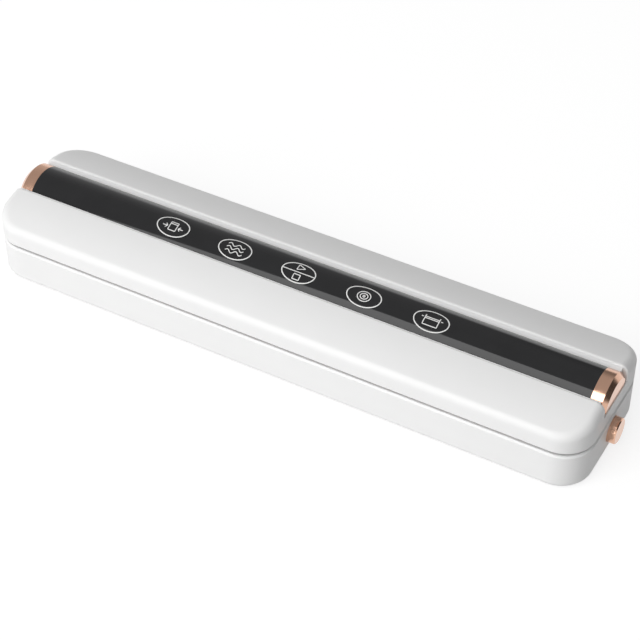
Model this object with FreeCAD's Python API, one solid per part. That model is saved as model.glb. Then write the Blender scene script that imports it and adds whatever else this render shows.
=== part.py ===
import FreeCAD, Part
import math
import os

os.makedirs("parts", exist_ok=True)

# A long household vacuum sealer, in millimetres.
# X runs along the body, Y from the front to the rear, Z up from the surface it stands on.

# Body shells
body_length = 364.0
body_depth = 84.0
corner_radius = 18.0
wall = 2.2
foot_height = 1.5
base_height = 22.8
base_edge_round = 3.5
parting_gap = 1.6
rim_bevel = 1.0
lid_edge_height = 11.7
crown_radius = 107.0
crown_edge_round = 5.0

# Touch bar and its open-ended channel
channel_width = 29.8
channel_floor_height = 9.6
channel_wall = 2.0
lip_round = 1.2
bar_side_gap = 0.25
bar_height = 13.1
bar_side_height = 4.7
bar_end_inset = 0.5
panel_thickness = 2.0
cap_length = 9.0
cap_chamfer = 2.5
tongue_length = 6.0
tongue_height = 3.5
tongue_clearance = 0.1
key_count = 5
key_pitch = 40.0
key_forward_offset = 6.0
key_pad_size = 8.0
key_pad_clearance = 0.1
touch_board_width = 22.0
touch_board_thickness = 1.2
touch_board_end_gap = 12.0
touch_rib_height = 1.0
touch_rib_width = 1.5

# Deck and vacuum chamber
deck_recess = 0.8
deck_thickness = 2.0
deck_clearance = 0.3
ledge_width = 1.6
ledge_height = 2.0
chamber_end_inset = 33.0
chamber_depth = 8.5
chamber_latch_gap = 0.7
chamber_wall = 1.8
chamber_round = 3.0
gasket_margin = 1.5
gasket_band = 4.5
gasket_groove_depth = 1.5
gasket_meeting_gap = 0.3

# Sealing element
heater_end_overhang = 5.0
heater_width = 7.6
heater_height = 5.3
heater_wall_gap = 0.8
heater_gasket_gap = 2.4
heater_pocket_depth = 5.0
heater_pocket_clearance = 0.2
wire_end_inset = 5.0
wire_width = 2.5
wire_thickness = 0.2
tape_width = 7.0
tape_thickness = 0.2
terminal_length = 5.0
terminal_width = 5.0
terminal_thickness = 0.8

# Lid liner and its press strip
liner_recess = 1.0
liner_thickness = 2.0
liner_clearance = 0.3
press_strip_width = 6.4
press_groove_depth = 1.0
press_strip_gap = 0.3
press_strip_round = 1.0

# Rear hinge
hinge_inset = 3.8
hinge_spacing = 220.0
hinge_relief_angle = 40.0
hinge_clearance = 0.4
knuckle_radius = 3.3
knuckle_length = 10.0
knuckle_side_gap = 0.3
pin_radius = 1.5
pin_running_clearance = 0.05
pin_fixed_clearance = 0.01
shelf_thickness = 1.8
shelf_overlap = 2.0

# Release buttons and latch
button_radius = 7.3
button_drop = 9.8
button_projection = 4.5
button_stroke = 2.0
button_clearance = 0.15
button_tail = 2.5
button_bevel = 0.6
lug_reach = 2.0
lug_width = 5.0
lug_gap = 0.3
slider_width = 12.0
slider_thickness = 2.4
slider_bridge = 1.8
slider_tail = 14.0
slider_clearance = 0.3
rail_thickness = 2.0
rail_ledge = 1.5
rail_end_gap = 3.0
hook_width = 5.0
hook_thickness = 2.5
hook_clearance = 0.5
barb_reach = 1.2
barb_edge = 0.2
tooth_edge = 0.3
latch_bite = 0.6
latch_gap = 0.42

# Release springs
spring_length = 11.0
spring_radius = 2.6
spring_wire = 0.6
spring_turns = 3
spring_end_gap = 0.1
spring_peg_radius = 1.7
spring_peg_length = 2.5
spring_post_thickness = 3.0
spring_post_half_width = 3.5

# Pump
motor_radius = 9.2
motor_flat_height = 13.8
motor_length = 32.0
motor_end_inset = 62.0
motor_setback = 14.5
motor_boss_radius = 3.0
motor_boss_length = 2.0
cradle_floor = 1.0
cradle_wall = 2.0
cradle_length = 20.0
cradle_height = 8.0
pump_length = 26.0
pump_case_depth = 24.0
pump_case_height = 13.0
pump_case_round = 3.0
spout_radius = 1.5
spout_gap = 1.2
spout_bore_radius = 0.9
hose_radius = 2.6
hose_fit_clearance = 0.05
nozzle_drop = 6.5

# Supply and control board
board_length = 62.0
board_width = 23.0
board_thickness = 1.6
board_inlet_spacing = 50.0
board_setback = 17.5
board_rail_height = 3.0
board_rail_width = 3.0
transformer_length = 22.0
transformer_width = 18.0
transformer_height = 9.5
transformer_core_overhang = 2.0
capacitor_radius = 4.5
capacitor_length = 17.0
relay_length = 14.0
relay_width = 9.0
relay_height = 9.0
board_part_gap = 3.0

# Mains inlet
inlet_end_inset = 34.0
inlet_height = 9.5
inlet_body_width = 21.0
inlet_body_height = 12.6
inlet_body_length = 15.0
inlet_body_round = 2.0
inlet_clearance = 0.1
inlet_recess_radius = 4.0
inlet_recess_depth = 11.0
inlet_waist_height = 5.0
inlet_pin_radius = 1.2
inlet_pin_spacing = 8.6
inlet_pin_setback = 2.0

# Feet, deck posts and lid ribs
foot_radius = 6.0
foot_inset_x = 30.0
foot_inset_y = 13.0
post_size = 7.0
post_end_inset = 15.0
post_side_inset = 14.0
screw_pocket_radius = 2.6
screw_pocket_depth = 8.0
lid_rib_count = 7
lid_rib_spacing = 50.0
lid_rib_thickness = 1.6

# Working planes and axes
half_length = body_length / 2
half_depth = body_depth / 2
base_bottom = foot_height
base_floor = base_bottom + wall
base_rim = base_bottom + base_height
lid_rim = base_rim + parting_gap
parting_height = (base_rim + lid_rim) / 2
deck_top = base_rim - deck_recess
deck_under = deck_top - deck_thickness
liner_under = lid_rim + liner_recess
liner_top = liner_under + liner_thickness
crown_centre = lid_rim + lid_edge_height - math.sqrt(crown_radius**2 - half_depth**2)
channel_half = channel_width / 2
channel_floor = lid_rim + channel_floor_height
bar_half = channel_half - bar_side_gap
bar_end = half_length - bar_end_inset
panel_end = bar_end - cap_length
arch_rise = bar_height - bar_side_height
bar_arch_radius = (bar_half**2 + arch_rise**2) / (2 * arch_rise)
arch_centre = channel_floor + bar_height - bar_arch_radius
touch_board_top = channel_floor + touch_rib_height + touch_board_thickness
hinge_y = half_depth - hinge_inset
deck_rear = hinge_y - knuckle_radius - hinge_clearance
button_axis = base_rim - button_drop
button_inner = half_length - wall - button_tail
slider_bottom = button_axis - slider_thickness / 2
slider_top = button_axis + slider_thickness / 2
hook_outer = button_inner - slider_bridge - button_stroke - hook_clearance
hook_inner = hook_outer - hook_thickness
tooth_tip = hook_inner - barb_reach + latch_bite
hook_bottom = slider_bottom + tooth_edge + latch_gap - latch_bite
slider_end = tooth_tip - slider_tail
spring_post_face = slider_end - spring_length
hook_front_reach = hinge_y + hook_width / 2
hook_swing = math.hypot(hook_front_reach, parting_height - hook_bottom) - hook_front_reach
hook_slot_half = hook_width / 2 + hook_swing + hook_clearance
heater_reach = heater_width / 2 + heater_pocket_clearance + chamber_wall
heater_centre_y = wall + heater_wall_gap + heater_reach - half_depth
chamber_front = heater_centre_y + heater_width / 2 + heater_gasket_gap + gasket_band + gasket_margin
chamber_rear = -spring_post_half_width - chamber_latch_gap
chamber_width = chamber_rear - chamber_wall - chamber_front
chamber_centre_y = chamber_front + chamber_width / 2
chamber_length = body_length - 2 * chamber_end_inset
heater_length = chamber_length + 2 * heater_end_overhang
wire_length = heater_length - 2 * wire_end_inset
heater_top = deck_top - heater_pocket_depth + heater_height
tape_top = heater_top + wire_thickness + tape_thickness
motor_centre_x = half_length - motor_end_inset
motor_centre_y = deck_rear - motor_setback
motor_axis = base_floor + cradle_floor + motor_flat_height / 2
pump_x1 = motor_centre_x - motor_length / 2
pump_x0 = pump_x1 - pump_length
pump_front = motor_centre_y - pump_case_depth / 2
nozzle_x = (pump_x0 + pump_x1) / 2
nozzle_height = deck_top - nozzle_drop
spout_length = (pump_front - chamber_rear - spout_gap) / 2
inlet_x = inlet_end_inset - half_length
inlet_axis = base_bottom + inlet_height
board_centre_x = inlet_x + board_inlet_spacing
board_centre_y = deck_rear - board_setback
board_under = base_floor + board_rail_height
board_top = board_under + board_thickness
MARGIN = 5.0
TINY = 1e-3


def vec(x, y, z):
    return FreeCAD.Vector(x, y, z)


def box(x0, x1, y0, y1, z0, z1):
    return Part.makeBox(x1 - x0, y1 - y0, z1 - z0, vec(x0, y0, z0))


def rod_x(radius, x0, x1, y, z):
    return Part.makeCylinder(radius, x1 - x0, vec(x0, y, z), vec(1, 0, 0))


def rod_y(radius, y0, y1, x, z):
    return Part.makeCylinder(radius, y1 - y0, vec(x, y0, z), vec(0, 1, 0))


def rod_z(radius, z0, z1, x, y):
    return Part.makeCylinder(radius, z1 - z0, vec(x, y, z0), vec(0, 0, 1))


def prism_x(points, x0, x1):
    """A prism along X over a polygon of (y, z) points."""
    corners = [vec(x0, y, z) for y, z in points]
    outline = Part.makePolygon(corners + corners[:1])
    return Part.Face(outline).extrude(vec(x1 - x0, 0, 0))


def prism_y(points, y0, y1):
    """A prism along Y over a polygon of (x, z) points."""
    corners = [vec(x, y0, z) for x, z in points]
    outline = Part.makePolygon(corners + corners[:1])
    return Part.Face(outline).extrude(vec(0, y1 - y0, 0))


def join(first, others):
    return first.multiFuse(others).removeSplitter()


def mirrored(shape):
    """The same piece at the left end of the body."""
    return shape.mirror(vec(0, 0, 0), vec(1, 0, 0))


def both_ends(shape):
    return [shape, mirrored(shape)]


def slab(half_x, y0, y1, corner, z0, z1):
    """A block with rounded upright edges."""
    block = box(-half_x, half_x, y0, y1, z0, z1)
    uprights = [edge for edge in block.Edges if edge.BoundBox.ZLength > TINY]
    return block.makeFillet(corner, uprights)


def plan_block(inset, z0, z1):
    """The body's rounded plan moved in by inset."""
    return slab(half_length - inset, inset - half_depth, half_depth - inset, corner_radius - inset, z0, z1)


def edges_at(shape, height):
    return [edge for edge in shape.Edges
            if abs(edge.BoundBox.ZMin - height) < TINY and abs(edge.BoundBox.ZMax - height) < TINY]


# Outer forms

def base_form():
    """The tub's outer skin, with its rounded bottom edge."""
    block = plan_block(0, base_bottom, base_rim)
    return block.makeFillet(base_edge_round, edges_at(block, base_bottom))


def lid_form(inset, bottom):
    """The lid's skin moved in by inset: the rounded plan under the crown, from bottom up."""
    reach = crown_radius - inset
    side = half_depth + MARGIN
    end = half_length + MARGIN
    low = bottom - MARGIN
    shoulder = crown_centre + math.sqrt(reach**2 - side**2)
    front_foot = vec(-end, -side, low)
    front_top = vec(-end, -side, shoulder)
    rear_top = vec(-end, side, shoulder)
    rear_foot = vec(-end, side, low)
    arch = Part.Arc(front_top, vec(-end, 0, crown_centre + reach), rear_top).toShape()
    sides = [Part.makeLine(front_foot, front_top), arch, Part.makeLine(rear_top, rear_foot),
             Part.makeLine(rear_foot, front_foot)]
    crown = Part.Face(Part.Wire(sides)).extrude(vec(2 * end, 0, 0))
    return plan_block(inset, bottom, crown_centre + reach + MARGIN).common(crown)


def bar_block(x0, x1, inset, bottom):
    """The touch bar's arched section moved in by inset, from x0 to x1."""
    half = bar_half - inset
    reach = bar_arch_radius - inset
    shoulder = arch_centre + math.sqrt(reach**2 - half**2)
    front_foot = vec(x0, -half, bottom)
    front_top = vec(x0, -half, shoulder)
    rear_top = vec(x0, half, shoulder)
    rear_foot = vec(x0, half, bottom)
    arch = Part.Arc(front_top, vec(x0, 0, arch_centre + reach), rear_top).toShape()
    sides = [Part.makeLine(front_foot, front_top), arch, Part.makeLine(rear_top, rear_foot),
             Part.makeLine(rear_foot, front_foot)]
    return Part.Face(Part.Wire(sides)).extrude(vec(x1 - x0, 0, 0))


# Rear hinge: two stations, each a lid knuckle between two base knuckles

hinge_stations = [-hinge_spacing / 2, hinge_spacing / 2]
knuckle_step = knuckle_length + knuckle_side_gap


def lid_knuckle_spans():
    return [(x - knuckle_length / 2, x + knuckle_length / 2) for x in hinge_stations]


def base_knuckle_spans():
    spans = []
    for x in hinge_stations:
        for centre in (x - knuckle_step, x + knuckle_step):
            spans.append((centre - knuckle_length / 2, centre + knuckle_length / 2))
    return spans


def hinge_relief():
    """The V groove along the rear that lets the lid swing open."""
    reach = hinge_inset + MARGIN
    rise = reach * math.tan(math.radians(hinge_relief_angle))
    corners = [(hinge_y, parting_height), (hinge_y + reach, parting_height + rise),
               (hinge_y + reach, parting_height - rise)]
    return prism_x(corners, -half_length - MARGIN, half_length + MARGIN)


def knuckle(span, web_from, web_to, bore):
    """A hinge barrel with the web that carries it, clear of the V groove."""
    web = box(span[0], span[1], hinge_y - knuckle_radius, hinge_y + knuckle_radius, web_from, web_to)
    web = web.cut(hinge_relief())
    barrel = rod_x(knuckle_radius, span[0], span[1], hinge_y, parting_height)
    return barrel.fuse(web).cut(rod_x(bore, span[0] - 1, span[1] + 1, hinge_y, parting_height))


def knuckle_room(span):
    """Space for the other half's knuckle."""
    x0 = span[0] - knuckle_side_gap
    x1 = span[1] + knuckle_side_gap
    return rod_x(knuckle_radius + hinge_clearance, x0, x1, hinge_y, parting_height)


def make_hinge_pins():
    reach = knuckle_step + knuckle_length / 2
    return [rod_x(pin_radius, x - reach, x + reach, hinge_y, parting_height) for x in hinge_stations]


# Places that repeat in the four corners

def post_places():
    end_x = half_length - post_end_inset
    side_y = half_depth - post_side_inset
    return [(x, y) for x in (-end_x, end_x) for y in (-side_y, side_y)]


def foot_places():
    return [(x, y) for x in (foot_inset_x - half_length, half_length - foot_inset_x)
            for y in (foot_inset_y - half_depth, half_depth - foot_inset_y)]


# Base

def latch_rails():
    """Rails and the spring post on the tub's floor, at the right end."""
    edge = slider_width / 2
    x0 = slider_end + rail_end_gap
    x1 = button_inner - rail_end_gap
    pieces = []
    for side in (-1, 1):
        near = side * (edge - rail_ledge)
        guide = side * (edge + slider_clearance)
        far = side * (edge + slider_clearance + rail_thickness)
        low, high = sorted((near, far))
        pieces.append(box(x0, x1, low, high, base_floor - TINY, slider_bottom - slider_clearance))
        low, high = sorted((guide, far))
        pieces.append(box(x0, x1, low, high, base_floor - TINY, slider_top))
    post_back = spring_post_face - spring_post_thickness
    post_top = button_axis + spring_radius + spring_wire / 2
    pieces.append(box(post_back, spring_post_face, -spring_post_half_width, spring_post_half_width,
                      base_floor - TINY, post_top))
    pieces.append(rod_x(spring_peg_radius, spring_post_face, spring_post_face + spring_peg_length,
                        0, button_axis))
    return pieces


def board_rails():
    """Two rails across the floor that carry the board's ends."""
    reach = board_length / 2 - board_rail_width / 2
    half = board_width / 2
    return [box(x - board_rail_width / 2, x + board_rail_width / 2,
                board_centre_y - half, board_centre_y + half,
                base_floor - TINY, board_under) for x in (board_centre_x - reach, board_centre_x + reach)]


def make_base_shell():
    shell = base_form()
    shell = shell.makeChamfer(rim_bevel, edges_at(shell, base_rim))
    shell = shell.cut(plan_block(wall, base_floor, base_rim + MARGIN))

    ledge = plan_block(wall / 2, deck_under - ledge_height, deck_under)
    ledge = ledge.cut(plan_block(wall + ledge_width, deck_under - ledge_height - 1, deck_under + 1))
    heater_cut = heater_room(chamber_wall + deck_clearance, deck_under - ledge_height - 1, deck_under + 1)
    ledge = ledge.cut(heater_cut)
    shelf = plan_block(wall / 2, deck_under - shelf_thickness, deck_under)
    shelf = shelf.common(box(-half_length, half_length, deck_rear - shelf_overlap, half_depth,
                             deck_under - shelf_thickness, deck_under))
    added = [ledge, shelf] + board_rails()
    half_post = post_size / 2
    for x, y in post_places():
        added.append(box(x - half_post, x + half_post, y - half_post, y + half_post,
                         base_floor - TINY, deck_under))
    for piece in latch_rails():
        added.extend(both_ends(piece))
    for span in base_knuckle_spans():
        added.append(knuckle(span, deck_under - TINY, parting_height, pin_radius + pin_fixed_clearance))
    shell = join(shell, added)

    cuts = [hinge_relief()]
    for span in base_knuckle_spans():
        pin_hole = pin_radius + pin_fixed_clearance
        cuts.append(rod_x(pin_hole, span[0] - 1, span[1] + 1, hinge_y, parting_height))
    for span in lid_knuckle_spans():
        cuts.append(knuckle_room(span))
    hole = rod_x(button_radius + button_clearance, button_inner, half_length + MARGIN, 0, button_axis)
    cuts.extend(both_ends(hole))
    for x, y in post_places():
        cuts.append(rod_z(screw_pocket_radius, base_bottom - 1, base_bottom + screw_pocket_depth, x, y))
    cuts.append(inlet_block(inlet_clearance, half_depth - wall - 1, half_depth + MARGIN))
    return shell.cut(cuts)


def make_base_deck():
    reach = half_length - wall - deck_clearance
    front = wall + deck_clearance - half_depth
    corner = corner_radius - wall - deck_clearance
    deck = slab(reach, front, -front, corner, deck_under, deck_top)
    deck = deck.common(box(-reach, reach, front, deck_rear, deck_under, deck_top))

    chamber_floor = deck_top - chamber_depth
    trough = chamber_slab(chamber_wall, chamber_floor - chamber_wall, deck_top)
    pocket_floor = deck_top - heater_pocket_depth
    pocket_body = heater_room(chamber_wall, pocket_floor - chamber_wall, deck_top)
    nozzle = rod_y(spout_radius, chamber_rear - TINY, chamber_rear + spout_length, nozzle_x, nozzle_height)
    deck = join(deck, [trough, pocket_body, nozzle])

    cuts = [chamber_slab(0, chamber_floor, deck_top + 1)]
    cuts.append(heater_room(0, pocket_floor, deck_top + 1))
    cuts.append(gasket_ring(deck_top - gasket_groove_depth, deck_top + 1))
    cuts.append(rod_y(spout_bore_radius, chamber_centre_y, chamber_rear + spout_length + 1,
                      nozzle_x, nozzle_height))
    slot = box(hook_inner - barb_reach - hook_clearance, hook_outer + hook_clearance,
               -hook_slot_half, hook_slot_half, deck_under - 1, deck_top + 1)
    cuts.extend(both_ends(slot))
    room = rod_x(button_radius + hook_clearance, button_inner - button_stroke - hook_clearance,
                 half_length, 0, button_axis)
    cuts.extend(both_ends(room))
    return deck.cut(cuts)


def chamber_slab(grow, z0, z1):
    """The vacuum chamber's long rounded plan, grown all round."""
    half = chamber_width / 2 + grow
    return slab(chamber_length / 2 + grow, chamber_centre_y - half, chamber_centre_y + half,
                chamber_round + grow, z0, z1)


def gasket_ring(z0, z1):
    """The closed ring that both gaskets and their grooves share."""
    outer = chamber_slab(gasket_margin + gasket_band, z0, z1)
    return outer.cut(chamber_slab(gasket_margin, z0 - 1, z1 + 1))


def make_lower_gasket():
    top = parting_height - gasket_meeting_gap / 2
    return gasket_ring(deck_top - gasket_groove_depth, top)


def make_upper_gasket():
    bottom = parting_height + gasket_meeting_gap / 2
    return gasket_ring(bottom, liner_under + press_groove_depth)


# Sealing element

def heater_strip(length, width, z0, z1):
    return box(-length / 2, length / 2, heater_centre_y - width / 2, heater_centre_y + width / 2, z0, z1)


def heater_room(grow, z0, z1):
    """The pocket that holds the heater bar, grown all round."""
    extra = 2 * (heater_pocket_clearance + grow)
    return heater_strip(heater_length + extra, heater_width + extra, z0, z1)


def make_heater_bar():
    return heater_strip(heater_length, heater_width, deck_top - heater_pocket_depth, heater_top)


def make_heating_wire():
    return heater_strip(wire_length, wire_width, heater_top, heater_top + wire_thickness)


def make_heater_tape():
    span = wire_length - 2 * terminal_length
    return heater_strip(span, tape_width, heater_top + wire_thickness, tape_top)


def make_heater_terminals():
    """Brass clips that hold the wire's ends down on the bar."""
    x1 = heater_length / 2
    x0 = wire_length / 2 - terminal_length
    z0 = heater_top
    z1 = heater_top + terminal_thickness
    y0 = heater_centre_y - terminal_width / 2
    y1 = heater_centre_y + terminal_width / 2
    clip = box(x0, x1, y0, y1, z0, z1)
    wire_room = box(x0 - 1, wire_length / 2, heater_centre_y - wire_width / 2,
                    heater_centre_y + wire_width / 2, z0 - 1, z0 + wire_thickness)
    return both_ends(clip.cut(wire_room))


# Latch and release buttons, at the right end

def make_release_button():
    face = half_length + button_projection
    head = rod_x(button_radius, button_inner, face, 0, button_axis)
    rim = [edge for edge in head.Edges if abs(edge.BoundBox.XMin - face) < TINY]
    head = head.makeChamfer(button_bevel, rim)
    reach = button_radius + lug_reach
    lugs = box(button_inner, half_length - wall - lug_gap, -reach, reach,
               button_axis - lug_width / 2, button_axis + lug_width / 2)
    return join(head, [lugs])


def make_latch_slider():
    half = slider_width / 2
    plate = box(slider_end, button_inner, -half, half, slider_bottom, slider_top)
    window_half = hook_width / 2 + hook_swing
    window = box(tooth_tip, hook_outer + button_stroke + hook_clearance, -window_half, window_half,
                 slider_bottom - 1, slider_top + 1)
    bevel = slider_thickness - tooth_edge
    ramp = prism_y([(tooth_tip, slider_bottom + tooth_edge), (tooth_tip, slider_top + TINY),
                    (tooth_tip - bevel - TINY, slider_top + TINY)], -window_half, window_half)
    peg = rod_x(spring_peg_radius, slider_end - spring_peg_length, slider_end + 1, 0, button_axis)
    peg = peg.common(box(slider_end - spring_peg_length, slider_end + 1, -half, half,
                         slider_bottom, slider_top))
    return join(plate, [peg]).cut([window, ramp])


def coil_point(start, pitch, turn):
    angle = 2 * math.pi * turn
    return vec(start + pitch * turn, spring_radius * math.cos(angle),
               button_axis + spring_radius * math.sin(angle))


def coil_tangent(pitch, turn):
    angle = 2 * math.pi * turn
    around = 2 * math.pi * spring_radius
    return vec(pitch, -around * math.sin(angle), around * math.cos(angle)).normalize()


def tangent_arc(start, tangent, end):
    """The arc that leaves start along tangent and reaches end."""
    chord = end - start
    half_turn = tangent.getAngle(chord)
    corner = start + tangent * (chord.Length / (2 * math.cos(half_turn)))
    middle = (start + end) * 0.5
    share = math.tan(half_turn / 2) / math.tan(half_turn)
    return Part.Arc(start, middle + (corner - middle) * share, end).toShape()


def biarc(p0, t0, p1, t1):
    """Two tangent arcs from p0 along t0 to p1 along t1."""
    across = p1 - p0
    both = t0 + t1
    bend = 2 * (1 - t0.dot(t1))
    run = across.dot(both)
    leg = (math.sqrt(run * run + bend * across.dot(across)) - run) / bend
    meeting = (p0 + t0 * leg + p1 - t1 * leg) * 0.5
    return [tangent_arc(p0, t0, meeting), tangent_arc(meeting, (p1 - t1 * leg - meeting).normalize(), p1)]


def make_release_spring():
    """A compression coil between the spring post and the slider."""
    start = spring_post_face + spring_wire / 2 + spring_end_gap
    end = slider_end - spring_wire / 2 - spring_end_gap
    pitch = (end - start) / spring_turns
    edges = []
    halves = 2 * spring_turns
    for step in range(halves):
        before = step / 2
        after = (step + 1) / 2
        edges.extend(biarc(coil_point(start, pitch, before), coil_tangent(pitch, before),
                           coil_point(start, pitch, after), coil_tangent(pitch, after)))
    outward = vec(0, spring_wire / 2, 0)
    along = outward.cross(coil_tangent(pitch, 0))
    corners = [coil_point(start, pitch, 0) + corner
               for corner in (outward + along, outward - along, -outward - along, along - outward)]
    section = Part.makePolygon(corners + corners[:1])
    print("release spring: least gap between turns", round(pitch - spring_wire, 2))
    return Part.Wire(edges).makePipeShell([section], True, False)


# Pump

def make_pump_motor():
    can = rod_x(motor_radius, pump_x1, pump_x1 + motor_length, motor_centre_y, motor_axis)
    flats = box(pump_x1, pump_x1 + motor_length,
                motor_centre_y - motor_radius, motor_centre_y + motor_radius,
                motor_axis - motor_flat_height / 2, motor_axis + motor_flat_height / 2)
    boss = rod_x(motor_boss_radius,
                 pump_x1 + motor_length - TINY, pump_x1 + motor_length + motor_boss_length,
                 motor_centre_y, motor_axis)
    return join(can.common(flats), [boss])


def make_motor_cradle():
    """A rubber saddle under the motor that keeps its hum off the floor."""
    x0 = motor_centre_x - cradle_length / 2
    x1 = motor_centre_x + cradle_length / 2
    reach = motor_radius + cradle_wall
    saddle = box(x0, x1, motor_centre_y - reach, motor_centre_y + reach,
                 base_floor, base_floor + cradle_height)
    bed = rod_x(motor_radius, x0 - 1, x1 + 1, motor_centre_y, motor_axis)
    flat = box(x0 - 1, x1 + 1, motor_centre_y - reach, motor_centre_y + reach,
               base_floor + cradle_floor, base_floor + cradle_height + 1)
    return saddle.cut(bed.common(flat))


def make_pump_head():
    half = pump_case_depth / 2
    bottom = motor_axis - pump_case_height / 2
    top = motor_axis + pump_case_height / 2
    case = box(pump_x0, pump_x1, pump_front, motor_centre_y + half, bottom, top)
    lengthwise = [edge for edge in case.Edges if edge.BoundBox.XLength > TINY]
    case = case.makeFillet(pump_case_round, lengthwise)
    spout_root = pump_front + pump_case_round
    spout = rod_y(spout_radius, pump_front - spout_length, spout_root, nozzle_x, nozzle_height)
    head = join(case, [spout])
    bore_front = pump_front - spout_length - 1
    return head.cut(rod_y(spout_bore_radius, bore_front, spout_root, nozzle_x, nozzle_height))


def make_pump_hose():
    """A short silicone sleeve over the chamber's nozzle and the pump's spout."""
    tube = rod_y(hose_radius, chamber_rear, pump_front, nozzle_x, nozzle_height)
    bore_radius = spout_radius + hose_fit_clearance
    return tube.cut(rod_y(bore_radius, chamber_rear, pump_front, nozzle_x, nozzle_height))


# Supply and control

def make_power_board():
    return box(board_centre_x - board_length / 2, board_centre_x + board_length / 2,
               board_centre_y - board_width / 2, board_centre_y + board_width / 2, board_under, board_top)


def make_transformer():
    """A wound core: a plain bobbin between the core's two end plates."""
    x1 = board_centre_x + board_length / 2 - board_part_gap
    x0 = x1 - transformer_length
    half = transformer_width / 2
    core = box(x0, x1, board_centre_y - half + transformer_core_overhang,
               board_centre_y + half - transformer_core_overhang, board_top, board_top + transformer_height)
    bobbin = box(x0 + transformer_length / 4, x1 - transformer_length / 4, board_centre_y - half,
                 board_centre_y + half, board_top, board_top + transformer_height - transformer_core_overhang)
    return join(core, [bobbin])


def make_board_parts():
    x0 = board_centre_x - board_length / 2 + board_part_gap
    front = board_centre_y - board_width / 2 + board_part_gap
    capacitor = rod_x(capacitor_radius, x0, x0 + capacitor_length, front + capacitor_radius,
                      board_top + capacitor_radius)
    relay_front = front + 2 * capacitor_radius + board_part_gap / 2
    relay = box(x0, x0 + relay_length, relay_front, relay_front + relay_width,
                board_top, board_top + relay_height)
    return [capacitor, relay]


# Mains inlet

def inlet_block(grow, y0, y1):
    half_x = inlet_body_width / 2 + grow
    half_z = inlet_body_height / 2 + grow
    block = box(inlet_x - half_x, inlet_x + half_x, y0, y1, inlet_axis - half_z, inlet_axis + half_z)
    lengthwise = [edge for edge in block.Edges if edge.BoundBox.YLength > TINY]
    return block.makeFillet(inlet_body_round + grow, lengthwise)


def make_power_inlet():
    """A moulded socket with a figure-of-eight recess for two round contacts."""
    body = inlet_block(0, half_depth - inlet_body_length, half_depth)
    offset = inlet_pin_spacing / 2
    floor = half_depth - inlet_recess_depth
    cuts = []
    for side in (-1, 1):
        x = inlet_x + side * offset
        cuts.append(rod_y(inlet_recess_radius, floor, half_depth + 1, x, inlet_axis))
    cuts.append(box(inlet_x - offset, inlet_x + offset, floor, half_depth + 1,
                    inlet_axis - inlet_waist_height / 2, inlet_axis + inlet_waist_height / 2))
    return body.cut(cuts)


def make_inlet_pins():
    y0 = half_depth - inlet_recess_depth
    y1 = half_depth - inlet_pin_setback
    return [rod_y(inlet_pin_radius, y0, y1, inlet_x + side * inlet_pin_spacing / 2, inlet_axis)
            for side in (-1, 1)]


# Feet

def make_rubber_feet():
    return [rod_z(foot_radius, 0, base_bottom, x, y) for x, y in foot_places()]


# Lid

def make_lid_shell():
    outer = lid_form(0, lid_rim)
    top_edges = [edge for edge in outer.Edges if edge.BoundBox.ZMin > lid_rim + TINY]
    outer = outer.makeFillet(crown_edge_round, top_edges)
    shell = outer.makeChamfer(rim_bevel, edges_at(outer, lid_rim))
    shell = shell.cut(lid_form(wall, lid_rim - MARGIN))

    tray_half = channel_half + channel_wall
    tray = box(-half_length + wall / 2, half_length - wall / 2, -tray_half, tray_half,
               channel_floor - channel_wall, crown_centre + crown_radius)
    added = [tray.common(outer)]
    for rib in lid_ribs():
        added.append(rib.common(lid_form(wall / 2, lid_rim)))
    for span in lid_knuckle_spans():
        crown_top = crown_centre + crown_radius
        barrel = knuckle(span, parting_height, crown_top, pin_radius + pin_running_clearance)
        added.append(barrel.common(lid_form(wall / 2, lid_rim - 2 * knuckle_radius - MARGIN)))
    shell = join(shell, added)

    cuts = [box(-half_length - 1, half_length + 1, -channel_half, channel_half, channel_floor,
                crown_centre + crown_radius + 1)]
    cuts.append(hinge_relief())
    for span in base_knuckle_spans():
        cuts.append(knuckle_room(span))
    for span in lid_knuckle_spans():
        cuts.append(rod_x(pin_radius + pin_running_clearance, span[0] - 1, span[1] + 1,
                          hinge_y, parting_height))
    shell = shell.cut(cuts)
    lips = [edge for edge in shell.Edges if is_lip(edge)]
    shell = shell.makeFillet(lip_round, lips)

    rib_reach = panel_end - touch_board_end_gap
    rib_y = touch_board_width / 2 - touch_rib_width
    ribs = []
    for side in (-1, 1):
        y0 = side * rib_y - touch_rib_width / 2
        ribs.append(box(-rib_reach, rib_reach, y0, y0 + touch_rib_width, channel_floor - TINY,
                        channel_floor + touch_rib_height))
    return join(shell, ribs)


def lid_ribs():
    """Cross ribs that stiffen the lid and bear on the liner."""
    first = -lid_rib_spacing * (lid_rib_count - 1) / 2
    ribs = []
    for rib in range(lid_rib_count):
        x = first + lid_rib_spacing * rib
        ribs.append(box(x - lid_rib_thickness / 2, x + lid_rib_thickness / 2, -half_depth, deck_rear,
                        liner_top, crown_centre + crown_radius))
    return ribs


def is_lip(edge):
    """True for the top edges of the channel's two walls."""
    bounds = edge.BoundBox
    on_wall = bounds.YLength < TINY and abs(abs(bounds.YMin) - channel_half) < TINY
    return on_wall and bounds.ZMin > channel_floor + TINY


def make_touch_panel():
    outer = bar_block(-panel_end, panel_end, 0, channel_floor)
    return outer.cut(bar_block(-panel_end - 1, panel_end + 1, panel_thickness, channel_floor - 1))


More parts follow.
